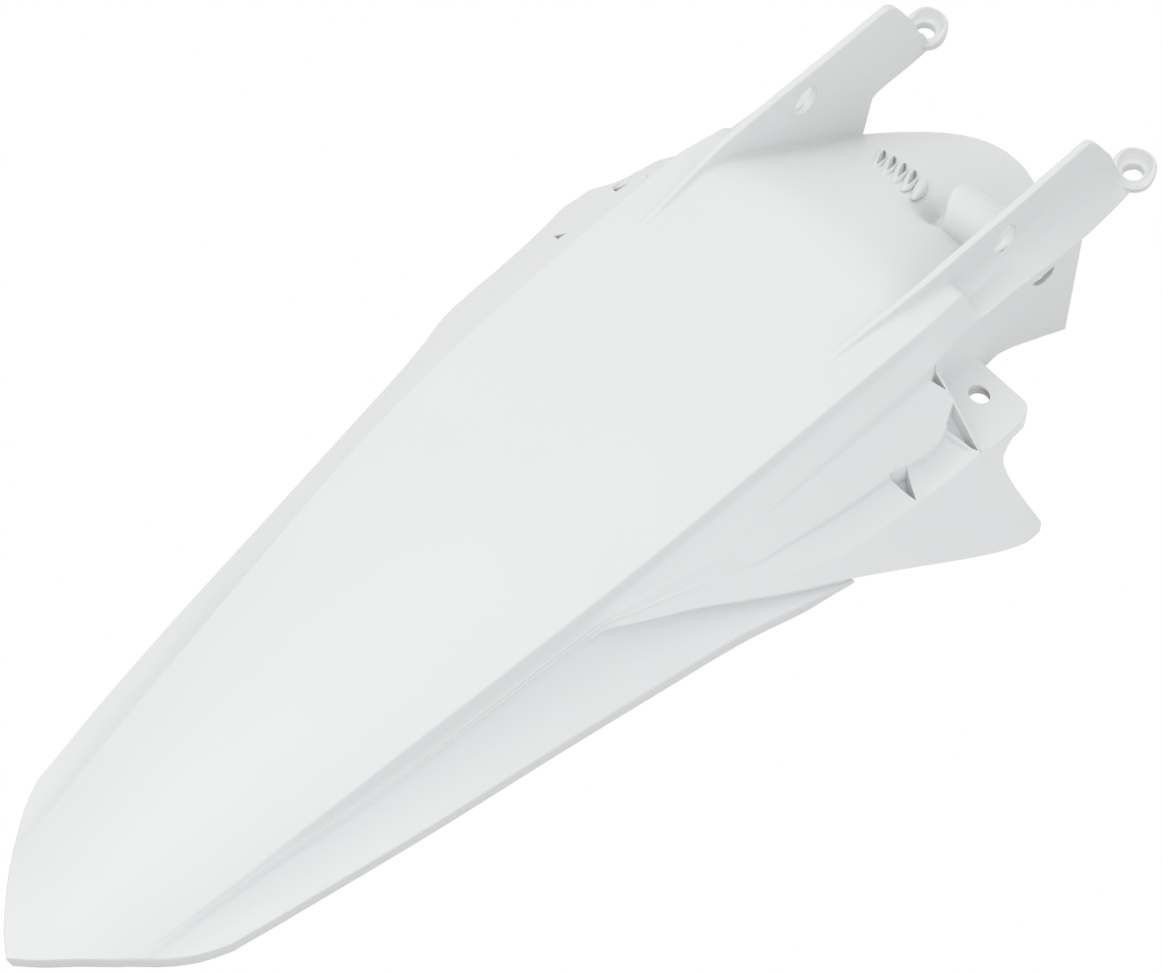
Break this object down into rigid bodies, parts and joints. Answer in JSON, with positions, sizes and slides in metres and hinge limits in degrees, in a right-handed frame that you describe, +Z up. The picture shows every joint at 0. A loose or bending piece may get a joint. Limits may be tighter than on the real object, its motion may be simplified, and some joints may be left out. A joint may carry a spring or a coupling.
{
  "type": "motorcycle rear fender",
  "caption": "Long ridged rear fender shell with flared side wings, two forward mounting arms with dished eyelets, a vented splash guard and side tabs.",
  "frame": {"origin": "centre of the bounding box at the level of the surface the fender stands on", "axes": "+Y from the tail towards the mounting arms, +X towards the bike's right, +Z up; the fender stands on its nose tip and on the side walls' front corners"},
  "size_m": [0.281, 0.6444, 0.1135],
  "materials": {
    "plastic": "satin moulded"
  },
  "bodies": {
    "root": {"fender": "plastic"}
  },
  "joints": []
}
